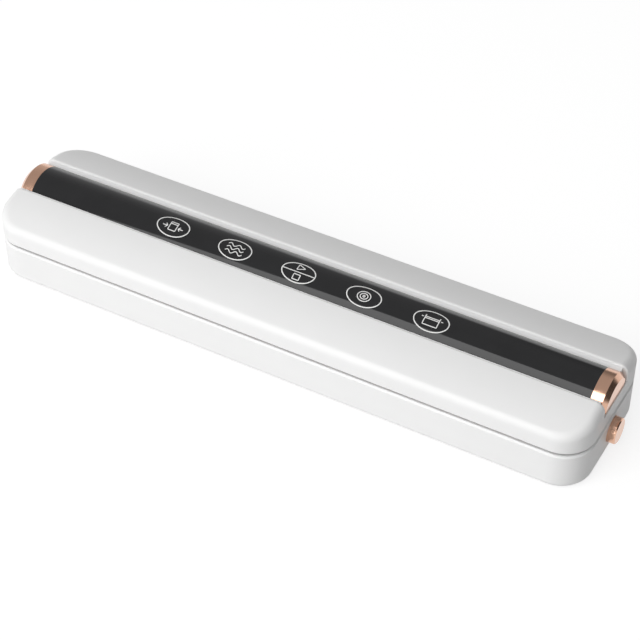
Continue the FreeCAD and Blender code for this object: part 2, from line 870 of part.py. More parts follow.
def make_end_cap():
    """The bar's right cap: a bevelled end with a tongue inside the panel."""
    cap = bar_block(panel_end, bar_end, 0, channel_floor)
    rim = [edge for edge in cap.Edges
           if edge.BoundBox.XMin > bar_end - TINY and edge.BoundBox.ZMax > channel_floor + TINY]
    cap = cap.makeChamfer(cap_chamfer, rim)
    tongue_half = bar_half - panel_thickness - tongue_clearance
    tongue = box(panel_end - tongue_length, panel_end + TINY, -tongue_half, tongue_half,
                 channel_floor, channel_floor + tongue_height)
    return join(cap, [tongue])


def make_touch_board():
    reach = panel_end - touch_board_end_gap
    return box(-reach, reach, -touch_board_width / 2, touch_board_width / 2,
               channel_floor + touch_rib_height, touch_board_top)


def make_touch_pads():
    """Conductive foam columns from the board up to the panel, one behind each key."""
    room = bar_block(-panel_end, panel_end, panel_thickness + key_pad_clearance, channel_floor)
    first = -key_pitch * (key_count - 1) / 2
    half = key_pad_size / 2
    columns = []
    for key in range(key_count):
        x = first + key_pitch * key
        column = box(x - half, x + half, -key_forward_offset - half, half - key_forward_offset,
                     touch_board_top, channel_floor + bar_height)
        columns.append(column.common(room))
    return columns


def make_lid_liner():
    reach = half_length - wall - liner_clearance
    front = wall + liner_clearance - half_depth
    corner = corner_radius - wall - liner_clearance
    liner = slab(reach, front, -front, corner, liner_under, liner_top)
    liner = liner.common(box(-reach, reach, front, deck_rear, liner_under, liner_top))
    bevel_top = hook_bottom + barb_reach
    catch = bevel_top + barb_edge
    profile = [(hook_outer, liner_under + TINY), (hook_outer, hook_bottom), (hook_inner, hook_bottom),
               (hook_inner - barb_reach, bevel_top), (hook_inner - barb_reach, catch),
               (hook_inner, catch), (hook_inner, liner_under + TINY)]
    hook = prism_y(profile, -hook_width / 2, hook_width / 2)
    liner = join(liner, both_ends(hook))
    cuts = [gasket_ring(liner_under - 1, liner_under + press_groove_depth)]
    cuts.append(heater_strip(heater_length, press_strip_width, liner_under - 1,
                             liner_under + press_groove_depth))
    return liner.cut(cuts)


def make_press_strip():
    """A silicone strip with a rounded nose over the heating wire."""
    bottom = heater_top + terminal_thickness + press_strip_gap
    strip = heater_strip(heater_length, press_strip_width, bottom, liner_under + press_groove_depth)
    return strip.makeFillet(press_strip_round, edges_at(strip, bottom))


# Every piece, by node name

right_button = make_release_button()
right_slider = make_latch_slider()
right_spring = make_release_spring()
right_cap = make_end_cap()

pieces = {
    "base_shell": [make_base_shell()],
    "base_deck": [make_base_deck()],
    "lower_gasket": [make_lower_gasket()],
    "heater_bar": [make_heater_bar()],
    "heating_wire": [make_heating_wire()],
    "heater_tape": [make_heater_tape()],
    "heater_terminals": make_heater_terminals(),
    "hinge_pins": make_hinge_pins(),
    "pump_motor": [make_pump_motor()],
    "motor_cradle": [make_motor_cradle()],
    "pump_head": [make_pump_head()],
    "pump_hose": [make_pump_hose()],
    "power_board": [make_power_board()],
    "transformer": [make_transformer()],
    "board_parts": make_board_parts(),
    "power_inlet": [make_power_inlet()],
    "inlet_pins": make_inlet_pins(),
    "rubber_feet": make_rubber_feet(),
    "right_release_spring": [right_spring],
    "left_release_spring": [mirrored(right_spring)],
    "right_release_button": [right_button],
    "left_release_button": [mirrored(right_button)],
    "right_latch_slider": [right_slider],
    "left_latch_slider": [mirrored(right_slider)],
    "lid_shell": [make_lid_shell()],
    "lid_liner": [make_lid_liner()],
    "upper_gasket": [make_upper_gasket()],
    "press_strip": [make_press_strip()],
    "touch_panel": [make_touch_panel()],
    "right_end_cap": [right_cap],
    "left_end_cap": [mirrored(right_cap)],
    "touch_board": [make_touch_board()],
    "touch_pads": make_touch_pads(),
}

for name, solids in pieces.items():
    shape = solids[0] if len(solids) == 1 else Part.makeCompound(solids)
    shape.exportStep("parts/" + name + ".step")
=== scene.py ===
import bpy
import bmesh
import math
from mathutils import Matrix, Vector


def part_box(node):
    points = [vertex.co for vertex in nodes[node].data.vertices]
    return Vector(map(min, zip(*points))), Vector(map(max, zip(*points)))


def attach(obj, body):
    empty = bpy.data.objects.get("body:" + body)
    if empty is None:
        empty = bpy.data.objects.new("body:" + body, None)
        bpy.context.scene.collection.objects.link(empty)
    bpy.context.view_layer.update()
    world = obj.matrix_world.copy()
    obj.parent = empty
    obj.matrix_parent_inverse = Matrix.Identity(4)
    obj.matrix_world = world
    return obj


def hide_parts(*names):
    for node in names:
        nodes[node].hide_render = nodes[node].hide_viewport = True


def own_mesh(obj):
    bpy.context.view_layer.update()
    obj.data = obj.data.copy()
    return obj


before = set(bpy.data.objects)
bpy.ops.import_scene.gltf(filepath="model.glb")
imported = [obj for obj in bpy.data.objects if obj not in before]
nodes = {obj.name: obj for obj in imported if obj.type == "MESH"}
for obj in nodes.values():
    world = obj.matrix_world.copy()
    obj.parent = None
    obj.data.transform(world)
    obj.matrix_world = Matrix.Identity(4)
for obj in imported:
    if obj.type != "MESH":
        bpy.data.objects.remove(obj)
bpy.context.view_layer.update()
scene = bpy.context.scene
MM = 0.001

# Camera, as in the photograph
camera_azimuth = math.radians(29.22)
camera_elevation = math.radians(42.2)
camera_distance = 1.00769
camera_target = Vector((0.0092, 0.0, 0.01373))
camera_lens = 102.8
camera_sensor = 36.0


def add_camera():
    toward = Vector((math.sin(camera_azimuth) * math.cos(camera_elevation),
                     -math.cos(camera_azimuth) * math.cos(camera_elevation),
                     math.sin(camera_elevation)))
    data = bpy.data.cameras.new("camera")
    data.lens = camera_lens
    data.sensor_width = camera_sensor
    camera = bpy.data.objects.new("camera", data)
    camera.location = camera_target + toward * camera_distance
    camera.rotation_euler = (-toward).to_track_quat("-Z", "Y").to_euler()
    scene.collection.objects.link(camera)
    scene.camera = camera


# Small helpers for node trees
noise_low = 0.3
noise_high = 0.7


def node(tree, kind, **values):
    made = tree.nodes.new(kind)
    for key, value in values.items():
        setattr(made, key, value)
    return made


def noise(tree, scale, detail, stretch):
    """Noise in the frame's own metres, stretched along one axis for grain."""
    coords = node(tree, "ShaderNodeTexCoord")
    texture = node(tree, "ShaderNodeTexNoise")
    texture.inputs["Scale"].default_value = scale
    texture.inputs["Detail"].default_value = detail
    if stretch is None:
        tree.links.new(coords.outputs["Object"], texture.inputs["Vector"])
    else:
        mapping = node(tree, "ShaderNodeMapping")
        mapping.inputs["Scale"].default_value = stretch
        tree.links.new(coords.outputs["Object"], mapping.inputs["Vector"])
        tree.links.new(mapping.outputs["Vector"], texture.inputs["Vector"])
    return texture.outputs["Fac"]


def graded(tree, value, start, end, low, high):
    """A value from start to end drawn out over another range."""
    made = node(tree, "ShaderNodeMapRange")
    made.inputs["From Min"].default_value = start
    made.inputs["From Max"].default_value = end
    made.inputs["To Min"].default_value = low
    made.inputs["To Max"].default_value = high
    tree.links.new(value, made.inputs["Value"])
    return made.outputs["Result"]


def ramp(tree, value, first, last):
    """A colour between two, over the range that noise mostly has."""
    made = node(tree, "ShaderNodeValToRGB")
    made.color_ramp.elements[0].position = noise_low
    made.color_ramp.elements[0].color = (*first, 1.0)
    made.color_ramp.elements[1].position = noise_high
    made.color_ramp.elements[1].color = (*last, 1.0)
    tree.links.new(value, made.inputs["Fac"])
    return made.outputs["Color"]


def shaded(color, share):
    return tuple(min(1.0, part * share) for part in color)


# Materials
tone_scale = 60.0
tone_detail = 4.0
gloss_detail = 3.0
relief_detail = 2.0


def material(name, color, rough, metal=0.0, tone=0.04, rough_swing=0.05, rough_scale=220.0, grain=0.03,
             grain_scale=2500.0, grain_depth=0.02, stretch=None, specular=0.5, pattern=None):
    """A moulded, plated or rubber surface: tone, gloss and fine relief all vary over it."""
    made = bpy.data.materials.new(name)
    made.use_nodes = True
    tree = made.node_tree
    shader = tree.nodes["Principled BSDF"]
    shader.inputs["Metallic"].default_value = metal
    shader.inputs["Specular IOR Level"].default_value = specular
    cloud = noise(tree, tone_scale, tone_detail, stretch)
    tones = ramp(tree, cloud, shaded(color, 1 - tone), shaded(color, 1 + tone))
    relief = noise(tree, grain_scale, relief_detail, stretch)
    if pattern is not None:
        tones, relief = pattern(tree, tones, relief)
    tree.links.new(tones, shader.inputs["Base Color"])
    wear = noise(tree, rough_scale, gloss_detail, stretch)
    gloss = graded(tree, wear, noise_low, noise_high, rough - rough_swing, rough + rough_swing)
    tree.links.new(gloss, shader.inputs["Roughness"])
    bump = node(tree, "ShaderNodeBump")
    bump.inputs["Strength"].default_value = grain
    bump.inputs["Distance"].default_value = grain_depth * MM
    tree.links.new(relief, bump.inputs["Height"])
    tree.links.new(bump.outputs["Normal"], shader.inputs["Normal"])
    return made


def foam_cells(tree, tones, relief):
    """Closed foam cells, about 0.4 mm wide."""
    coords = node(tree, "ShaderNodeTexCoord")
    cells = node(tree, "ShaderNodeTexVoronoi", feature="F1")
    cells.inputs["Scale"].default_value = 2600.0
    tree.links.new(coords.outputs["Object"], cells.inputs["Vector"])
    return tones, cells.outputs["Distance"]


def cloth_weave(tree, tones, relief):
    """A plain glass weave with about a millimetre between its yarns."""
    coords = node(tree, "ShaderNodeTexCoord")
    heights = []
    for direction in ("X", "Y"):
        yarn = node(tree, "ShaderNodeTexWave", bands_direction=direction)
        yarn.inputs["Scale"].default_value = 320.0
        yarn.inputs["Distortion"].default_value = 0.6
        tree.links.new(coords.outputs["Object"], yarn.inputs["Vector"])
        heights.append(yarn.outputs["Fac"])
    both = node(tree, "ShaderNodeMath", operation="MULTIPLY")
    tree.links.new(heights[0], both.inputs[0])
    tree.links.new(heights[1], both.inputs[1])
    shade = node(tree, "ShaderNodeMix", data_type="RGBA", blend_type="MULTIPLY")
    shade.inputs["Factor"].default_value = 0.35
    first_color = shade.inputs[6]
    second_color = shade.inputs[7]
    mixed_color = shade.outputs[2]
    tree.links.new(tones, first_color)
    tree.links.new(both.outputs[0], second_color)
    return mixed_color, both.outputs[0]


def board_tracks(tree, tones, relief):
    """Copper tracks under the solder mask, as paler lanes."""
    coords = node(tree, "ShaderNodeTexCoord")
    lanes = node(tree, "ShaderNodeTexBrick")
    lanes.inputs["Scale"].default_value = 180.0
    lanes.inputs["Mortar Size"].default_value = 0.035
    lanes.inputs["Color1"].default_value = (0.02, 0.16, 0.07, 1.0)
    lanes.inputs["Color2"].default_value = (0.025, 0.19, 0.085, 1.0)
    lanes.inputs["Mortar"].default_value = (0.06, 0.30, 0.13, 1.0)
    tree.links.new(coords.outputs["Object"], lanes.inputs["Vector"])
    return lanes.outputs["Color"], lanes.outputs["Fac"]


along_x = (0.04, 1.0, 1.0)
finish = {
    "white_case": material("white_case", (0.83, 0.83, 0.828), 0.42, tone=0.006, rough_swing=0.04,
                           grain=0.02),
    "inner_plastic": material("inner_plastic", (0.74, 0.74, 0.73), 0.5, tone=0.015, grain=0.12,
                              grain_scale=3500.0),
    "black_panel": material("black_panel", (0.016, 0.016, 0.017), 0.06, tone=0.1, rough_swing=0.02,
                            rough_scale=70.0, grain=0.004, specular=0.36),
    "rose_gold": material("rose_gold", (0.76, 0.465, 0.335), 0.17, metal=1.0, tone=0.04,
                          rough_swing=0.04, grain=0.03, grain_scale=1800.0),
    "slider_plastic": material("slider_plastic", (0.66, 0.66, 0.64), 0.45, tone=0.02, grain=0.06),
    "gasket_foam": material("gasket_foam", (0.045, 0.045, 0.048), 0.75, tone=0.15, grain=0.5,
                            grain_depth=0.06, pattern=foam_cells),
    "press_silicone": material("press_silicone", (0.42, 0.07, 0.045), 0.55, tone=0.05, grain=0.12),
    "heater_base": material("heater_base", (0.05, 0.043, 0.038), 0.6, tone=0.15, grain=0.2),
    "steel": material("steel", (0.60, 0.60, 0.61), 0.3, metal=1.0, tone=0.05, rough_swing=0.08,
                      grain=0.08, stretch=along_x),
    "tape_cloth": material("tape_cloth", (0.40, 0.25, 0.12), 0.42, tone=0.06, grain=0.5,
                           grain_depth=0.05, pattern=cloth_weave),
    "contact_brass": material("contact_brass", (0.78, 0.57, 0.26), 0.28, metal=1.0, tone=0.06,
                              grain=0.05, stretch=along_x),
    "rubber_black": material("rubber_black", (0.03, 0.03, 0.031), 0.7, tone=0.12, grain=0.3,
                             grain_scale=3000.0, grain_depth=0.04),
    "pump_plastic": material("pump_plastic", (0.09, 0.09, 0.095), 0.5, tone=0.08, grain=0.15),
    "hose_silicone": material("hose_silicone", (0.72, 0.72, 0.70), 0.4, tone=0.03, grain=0.05),
    "board_green": material("board_green", (0.03, 0.2, 0.09), 0.35, grain=0.2, pattern=board_tracks),
    "core_dark": material("core_dark", (0.07, 0.07, 0.072), 0.55, tone=0.2, grain=0.3),
    "component_black": material("component_black", (0.022, 0.022, 0.023), 0.45, tone=0.1, grain=0.15),
    "pad_foam": material("pad_foam", (0.12, 0.12, 0.125), 0.75, tone=0.12, grain=0.5,
                         grain_depth=0.06, pattern=foam_cells),
}
ring_print = material("ring_print", (0.76, 0.76, 0.75), 0.45, tone=0.03, grain=0.1, grain_scale=4000.0)
screw_steel = material("screw_steel", (0.34, 0.34, 0.35), 0.32, metal=1.0, tone=0.08,
                       rough_swing=0.08, grain=0.1)


def paint(name, slot):
    """A CAD node in the finish of its slot."""
    target = nodes[name]
    if not target.material_slots:
        target.data.materials.append(finish[slot])
    for place in target.material_slots:
        place.material = finish[slot]


# The arched bar's own section
panel_low, panel_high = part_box("touch_panel")
bar_half = (panel_high.y - panel_low.y) / 2
bar_rise = 8.4 * MM
bar_radius = (bar_half**2 + bar_rise**2) / (2 * bar_rise)
bar_axis = panel_high.z - bar_radius


# Meshes
def new_piece(name, mesh_data, slot, body, smooth_angle=40.0, surface=None):
    """A piece of vertices and faces, with its finish and body; the slot's finish is used when no surface
    is given.
    """
    mesh = bpy.data.meshes.new(name)
    vertices, faces = mesh_data
    mesh.from_pydata([tuple(point) for point in vertices], [], faces)
    mesh.validate()
    form = bmesh.new()
    form.from_mesh(mesh)
    bmesh.ops.recalc_face_normals(form, faces=form.faces)
    form.to_mesh(mesh)
    form.free()
    mesh.shade_smooth()
    mesh.set_sharp_from_angle(angle=math.radians(smooth_angle))
    piece = bpy.data.objects.new(name, mesh)
    scene.collection.objects.link(piece)
    mesh.materials.append(surface or finish[slot])
    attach(piece, body)
    return piece


def merged(parts):
    """Several meshes as one list of vertices and faces."""
    vertices = []
    faces = []
    for part_vertices, part_faces in parts:
        first = len(vertices)
        vertices += part_vertices
        faces += [[first + i for i in face] for face in part_faces]
    return vertices, faces


def loft(rings, closed_path=False):
    """Faces between closed rings of points, one after another, with an end face on an open row."""
    count = len(rings[0])
    vertices = [point for ring in rings for point in ring]
    faces = []
    last = len(rings) if closed_path else len(rings) - 1
    for i in range(last):
        start = i * count
        end = ((i + 1) % len(rings)) * count
        for k in range(count):
            following = (k + 1) % count
            faces.append([start + k, start + following, end + following, end + k])
    if not closed_path:
        faces.append(list(range(count))[::-1])
        faces.append([len(vertices) - count + k for k in range(count)])
    return vertices, faces


def circle(steps):
    """The cosine and sine of each step round a full turn."""
    angles = [2 * math.pi * i / steps for i in range(steps)]
    return [(math.cos(angle), math.sin(angle)) for angle in angles]


def rounded_path(left, right, front, rear, corner, steps):
    """Points and outward directions round a rectangle with round corners."""
    points = []
    centres = [(right - corner, rear - corner, 0), (left + corner, rear - corner, 90),
               (left + corner, front + corner, 180), (right - corner, front + corner, 270)]
    for centre_x, centre_y, start in centres:
        for i in range(steps + 1):
            angle = math.radians(start + 90 * i / steps)
            out = Vector((math.cos(angle), math.sin(angle), 0))
            points.append((Vector((centre_x, centre_y, 0)) + out * corner, out))
    return points


def crowned_profile(width, foot, crown, steps=8):
    """A strip's cross-section: upright sides and a round crown, as (across, height) points."""
    half = width / 2
    crown_share = 0.6
    points = [(-half, foot), (half, foot)]
    rise = min(half, abs(crown - foot) * crown_share) * (1 if crown > foot else -1)
    for i in range(steps + 1):
        angle = math.pi * i / steps
        points.append((half * math.cos(angle), crown - rise + rise * math.sin(angle)))
    return points


def gasket(name, cad_node, body, crown_up):
    """A foam ring with a round crown, in the room of its plain solid."""
    low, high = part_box(cad_node)
    band = 4.5 * MM
    corner = 9.0 * MM
    inset = 0.15 * MM
    corner_steps = 10
    half = band / 2
    path = rounded_path(low.x + half, high.x - half, low.y + half, high.y - half, corner - half,
                        corner_steps)
    foot, crown = (low.z, high.z) if crown_up else (high.z, low.z)
    section = crowned_profile(band - 2 * inset, foot, crown)
    rings = [[point + out * across + Vector((0, 0, height)) for across, height in section]
             for point, out in path]
    piece = new_piece(name, loft(rings, closed_path=True), "gasket_foam", body, smooth_angle=50.0)
    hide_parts(cad_node)


def press_strip():
    """A silicone strip with a round nose, held in the lid above the sealing wire."""
    low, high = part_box("press_strip")
    middle = (low.y + high.y) / 2
    nose_steps = 12
    end_run = 0.6 * MM
    end_share = 0.8
    section = crowned_profile(high.y - low.y, high.z, low.z, nose_steps)
    ends = [(low.x, end_share), (low.x + end_run, 1.0), (high.x - end_run, 1.0), (high.x, end_share)]
    rings = [[Vector((x, middle + across * share, high.z + (height - high.z) * share))
              for across, height in section] for x, share in ends]
    piece = new_piece("press_strip_silicone", loft(rings), "press_silicone", "lid")
    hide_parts("press_strip")


def tape():
    """Coated glass cloth over the sealing wire: a ridge above the wire, edges stuck to the bar."""
    low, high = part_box("heater_tape")
    wire_low, wire_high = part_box("heating_wire")
    middle = (low.y + high.y) / 2
    half = (high.y - low.y) / 2
    ridge = (wire_high.y - wire_low.y) / 2
    edge_lift = 0.15 * MM
    drop = high.z - wire_low.z - edge_lift
    slope_run = half * 0.25
    thickness = 0.13 * MM
    steps_across = 24
    steps_along = 40
    top = []
    for i in range(steps_across + 1):
        across = -half + 2 * half * i / steps_across
        share = min(1.0, max(0.0, (abs(across) - ridge) / slope_run))
        top.append((across, high.z - drop * share * share * (3 - 2 * share)))
    section = top + [(across, height - thickness) for across, height in reversed(top)]
    stations = [low.x + (high.x - low.x) * i / steps_along for i in range(steps_along + 1)]
    rings = [[Vector((x, middle + across, height)) for across, height in section] for x in stations]
    piece = new_piece("sealing_tape", loft(rings), "tape_cloth", "base", smooth_angle=60.0)
    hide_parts("heater_tape")


def turned(profile, centre_x, centre_y, steps=40):
    """A closed turned form about an upright axis from (radius, height) points."""
    rings = [[Vector((centre_x + radius * cosine, centre_y + radius * sine, height))
              for cosine, sine in circle(steps)] for radius, height in profile]
    return loft(rings)


def feet():
    """Moulded rubber feet with a rolled edge and a shallow dish underneath."""
    low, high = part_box("rubber_feet")
    radius = 6.0 * MM
    height = high.z - low.z
    dish = (0.55 * radius, low.z + 0.12 * height)
    tread = [(0.70 * radius, low.z), (0.90 * radius, low.z + 0.02 * height)]
    edge = [(0.97 * radius, low.z + 0.15 * height), (radius, low.z + 0.40 * height)]
    profile = [dish] + tread + edge + [(radius, high.z)]
    shapes = []
    for x in (low.x + radius, high.x - radius):
        for y in (low.y + radius, high.y - radius):
            shapes.append(turned(profile, x, y))
    piece = new_piece("rubber_feet_moulded", merged(shapes), "rubber_black", "base")
    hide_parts("rubber_feet")


def cradle():
    """The motor's rubber saddle, with softened edges."""
    weld_distance = 0.005 * MM
    flat_angle = math.radians(2)
    edge_angle = math.radians(50)
    edge_round = 0.4 * MM
    sharp_angle = math.radians(35)
    mesh = nodes["motor_cradle"].data.copy()
    mesh.name = "motor_cradle_rubber"
    piece = bpy.data.objects.new("motor_cradle_rubber", mesh)
    scene.collection.objects.link(piece)
    form = bmesh.new()
    form.from_mesh(mesh)
    bmesh.ops.remove_doubles(form, verts=form.verts, dist=weld_distance)
    bmesh.ops.dissolve_limit(form, angle_limit=flat_angle, verts=form.verts, edges=form.edges)
    edges = [edge for edge in form.edges
             if len(edge.link_faces) == 2 and edge.calc_face_angle(0.0) > edge_angle]
    bmesh.ops.bevel(form, geom=edges, offset=edge_round, segments=3, profile=0.5, affect="EDGES",
                    clamp_overlap=True)
    form.to_mesh(mesh)
    form.free()
    mesh.materials.clear()
    mesh.materials.append(finish["rubber_black"])
    mesh.shade_smooth()
    mesh.set_sharp_from_angle(angle=sharp_angle)
    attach(piece, "base")
    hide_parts("motor_cradle")


def hose():
    """A short silicone sleeve that swells a little over the spout at each end."""
    low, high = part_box("pump_hose")
    centre_x = (low.x + high.x) / 2
    centre_z = (low.z + high.z) / 2
    radius = (high.z - low.z) / 2
    bore = 1.62 * MM
    length = high.y - low.y
    mouth_scale = 0.94
    waist_scale = 0.9
    # Shares of the length, with the share of the radius there
    first_half = [(0.0, mouth_scale), (0.04, 1.0), (0.35, 1.0), (0.45, waist_scale)]
    second_half = [(1 - share, scale) for share, scale in reversed(first_half)]
    outside = [(low.y + length * share, radius * scale) for share, scale in first_half + second_half]
    inside = [(y, bore) for y, _ in reversed(outside)]
    steps = 32
    rings = [[Vector((centre_x + reach * cosine, y, centre_z + reach * sine))
              for cosine, sine in circle(steps)] for y, reach in outside + inside]
    piece = new_piece("pump_hose_silicone", loft(rings, closed_path=True), "hose_silicone", "base")
    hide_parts("pump_hose")


def spring(side):
    """A wound wire spring with its end turns closed, as long as its solid."""
    cad_node = side + "_release_spring"
    low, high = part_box(cad_node)
    wire = 0.34 * MM
    play = 0.02 * MM
    coil = (high.z - low.z) / 2 - wire - play
    middle_y = (low.y + high.y) / 2
    middle_z = (low.z + high.z) / 2
    length = high.x - low.x - 2 * wire
    turns = 5.5
    closed = 1.0
    closed_pitch = 2.1 * wire
    steps = 30
    around = 10
    count = int(turns * steps)
    centres = []
    for i in range(count + 1):
        turn = turns * i / count
        first_rise = closed_pitch * min(turn, closed) / closed
        open_share = min(1.0, max(0.0, (turn - closed) / (turns - 2 * closed)))
        last_rise = closed_pitch * max(0.0, turn - (turns - closed)) / closed
        rise = first_rise + (length - 2 * closed_pitch) * open_share + last_rise
        angle = 2 * math.pi * turn
        centres.append(Vector((low.x + wire + rise, middle_y + coil * math.cos(angle),
                               middle_z + coil * math.sin(angle))))
    rings = []
    for i, centre in enumerate(centres):
        ahead = centres[min(i + 1, count)] - centres[max(i - 1, 0)]
        out = Vector((0, centre.y - middle_y, centre.z - middle_z)).normalized()
        side_way = ahead.normalized().cross(out).normalized()
        rings.append([centre + (out * cosine + side_way * sine) * wire for cosine, sine in circle(around)])
    piece = new_piece(side + "_spring_wire", loft(rings), "steel", "base", smooth_angle=60.0)
    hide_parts(cad_node)
    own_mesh(piece)


def pads():
    """Five foam pads that carry the touch sense up to the panel, their tops cut to its inner arch."""
    low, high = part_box("touch_pads")
    size = 8.0 * MM
    count = 5
    corner = 1.0 * MM
    corner_steps = 4
    panel_depth = 2.15 * MM
    inner_radius = bar_radius - panel_depth
    pitch = (high.x - low.x - size) / (count - 1)
    y = (low.y + high.y) / 2
    foot_inset = 0.3 * MM
    waist_inset = 0.35 * MM
    top_inset = 0.5 * MM
    # Shares of the height, with how far the side is drawn in there
    levels = [(0.0, foot_inset), (0.08, 0.0), (0.5, waist_inset), (0.92, 0.0), (1.0, top_inset)]
    shapes = []
    for i in range(count):
        x = low.x + size / 2 + pitch * i
        rings = []
        for share, inset in levels:
            half = size / 2 - inset
            path = rounded_path(x - half, x + half, y - half, y + half, corner, corner_steps)
            ring = []
            for point, _ in path:
                top = min(high.z, bar_axis + math.sqrt(inner_radius**2 - point.y**2))
                ring.append(point + Vector((0, 0, low.z + (top - low.z) * share)))
            rings.append(ring)
        shapes.append(loft(rings))
    piece = new_piece("touch_pads_foam", merged(shapes), "pad_foam", "lid")
    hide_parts("touch_pads")


# Printed rings and signs on the arched bar
key_pitch = 40.0 * MM
key_shift = -1.2 * MM
key_forward = 5.0 * MM
ring_half_x = 10.0 * MM
ring_half_arc = 6.1 * MM
ring_steps = 72
line_width = 0.6 * MM
sign_width = 0.5 * MM
sign_scale = 1.15
print_low = 0.0
print_high = 0.06 * MM


def on_bar(x, arc, lift):
    """A point on the bar: along it, up its arc from the key's middle, and off its face."""
    angle = -math.asin(key_forward / bar_radius) + arc / bar_radius
    reach = bar_radius + lift
    return Vector((x, reach * math.sin(angle), bar_axis + reach * math.cos(angle)))


def printed_line(centre_x, points, width, closed=False):
    """A thin printed line through flat (across, up) points, laid on the bar's face."""
    count = len(points)
    corners = ((-1, print_low), (1, print_low), (1, print_high), (-1, print_high))
    rings = []
    for i, (across, up) in enumerate(points):
        before = points[(i - 1) % count] if closed or i else points[i]
        after = points[(i + 1) % count] if closed or i < count - 1 else points[i]
        along = Vector((after[0] - before[0], after[1] - before[1])).normalized()
        side_across = -along.y * width / 2
        side_up = along.x * width / 2
        rings.append([on_bar(centre_x + across + side * side_across, up + side * side_up, lift)
                      for side, lift in corners])
    return loft(rings, closed_path=closed)


def oval(half_across, half_up, steps):
    """Points round an oval about the key's middle."""
    return [(half_across * cosine, half_up * sine) for cosine, sine in circle(steps)]


def in_mm(points):
    """A sign's points at the size it is printed."""
    return [(across * sign_scale * MM, up * sign_scale * MM) for across, up in points]


def between(start, end):
    """A straight run with points between, so that it follows the arc."""
    steps = 6
    return [(start[0] + (end[0] - start[0]) * i / steps, start[1] + (end[1] - start[1]) * i / steps)
            for i in range(steps + 1)]


def run(centre_x, corners, closed=False):
    """A line through corners, each side its own stroke."""
    ends = corners[1:] + corners[:1] if closed else corners[1:]
    return [printed_line(centre_x, in_mm(between(start, end)), sign_width)
            for start, end in zip(corners, ends)]


def bag_sign(x):
    """A bag drawn flat by arrows from both sides."""
    half = 2.0
    height = 2.3
    mouth = 1.3
    arrow_level = -0.5
    arrow_tail = 5.6
    arrow_tip = 3.0
    barb = 4.0
    barb_rise = 1.1
    shapes = run(x, [(-half, height), (-half, -height), (half, -height), (half, height)], closed=True)
    shapes += run(x, [(-half, mouth), (half, mouth)])
    for side in (-1, 1):
        tail = (side * arrow_tail, arrow_level)
        tip = (side * arrow_tip, arrow_level)
        upper = (side * barb, arrow_level + barb_rise)
        lower = (side * barb, arrow_level - barb_rise)
        shapes += run(x, [tail, tip])
        shapes += run(x, [upper, tip, lower])
    return shapes


def soft_sign(x):
    """Three waves, for soft food."""
    half = 4.6
    swing = 0.75
    waves = 2
    steps = 40
    shapes = []
    for level in (-2.0, 0.0, 2.0):
        wave = [(-half + 2 * half * i / steps, level + swing * math.sin(2 * math.pi * waves * i / steps))
                for i in range(steps + 1)]
        shapes.append(printed_line(x, in_mm(wave), sign_width))
    return shapes


def start_stop_sign(x):
    """A line across, start above it and stop below it."""
    ring_gap = 0.3
    reach = ring_half_x / MM / sign_scale - ring_gap
    start_back = -1.6
    start_tip = 2.2
    start_low = 1.2
    start_high = 4.4
    start_middle = (start_low + start_high) / 2
    stop_half = 1.7
    stop_high = -1.3
    stop_low = -4.0
    shapes = run(x, [(-reach, 0.0), (reach, 0.0)])
    shapes += run(x, [(start_back, start_low), (start_tip, start_middle), (start_back, start_high)],
                  closed=True)
    shapes += run(x, [(-stop_half, stop_high), (stop_half, stop_high), (stop_half, stop_low),
                      (-stop_half, stop_low)], closed=True)
    return shapes


def pulse_sign(x):
    """A point in two rings, for drawing air by hand."""
    dot = 0.5
    dot_steps = 16
    flatness = 0.8
    steps = 40
    shapes = [printed_line(x, in_mm(oval(dot, dot, dot_steps)), sign_width, closed=True)]
    for half in (1.9, 3.3):
        ring = oval(half, half * flatness, steps)
        shapes.append(printed_line(x, in_mm(ring), sign_width, closed=True))
    return shapes


def seal_sign(x):
    """A bag's mouth with its welded line."""
    half = 3.6
    height = 2.6
    mark_level = 1.1
    mark_start = 4.4
    mark_end = 5.4
    shapes = run(x, [(-half, height), (-half, -height), (half, -height), (half, height)])
    for level in (0.7, 1.5):
        shapes += run(x, [(-half, level), (half, level)])
    shapes += run(x, [(-mark_end, mark_level), (-mark_start, mark_level)])
    shapes += run(x, [(mark_start, mark_level), (mark_end, mark_level)])
    return shapes


def key_prints():
    """A ring with its sign over each touch pad."""
    signs = (bag_sign, soft_sign, start_stop_sign, pulse_sign, seal_sign)
    middle = (len(signs) - 1) / 2
    for i, sign in enumerate(signs):
        x = (i - middle) * key_pitch + key_shift
        ring = printed_line(x, oval(ring_half_x, ring_half_arc, ring_steps), line_width, closed=True)
        new_piece(f"key_print_{i + 1}", merged([ring] + sign(x)), "white_case", "lid",
                  smooth_angle=60.0, surface=ring_print)


# White strips that close the channel beside the bar
front_strip_drop = 6.4 * MM
rear_strip_drop = 5.2 * MM


def side_strip(side, sign, inner_drop):
    """A strip from the bar's flank to the channel's wall, sloped to the bar, its outer edge broken."""
    wall = bar_half + 0.2 * MM
    edge = 0.4 * MM
    edge_drop = 4.6 * MM
    foot_drop = 8.2 * MM
    reach = bar_radius + 0.05 * MM
    end_inset = 2.8 * MM
    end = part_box("right_end_cap")[1].x - end_inset
    inner_angle = math.acos(1 - inner_drop / bar_radius)
    foot_angle = math.acos(1 - foot_drop / bar_radius)
    steps = 6
    section = []
    for i in range(steps + 1):
        angle = foot_angle + (inner_angle - foot_angle) * i / steps
        section.append((reach * math.sin(angle), bar_axis + reach * math.cos(angle)))
    section.append((wall - edge, panel_high.z - edge_drop + edge))
    section.append((wall, panel_high.z - edge_drop))
    section.append((wall, panel_high.z - foot_drop))
    rings = [[Vector((x, sign * across, height)) for across, height in section] for x in (-end, end)]
    new_piece(f"{side}_bar_strip", loft(rings), "white_case", "lid")


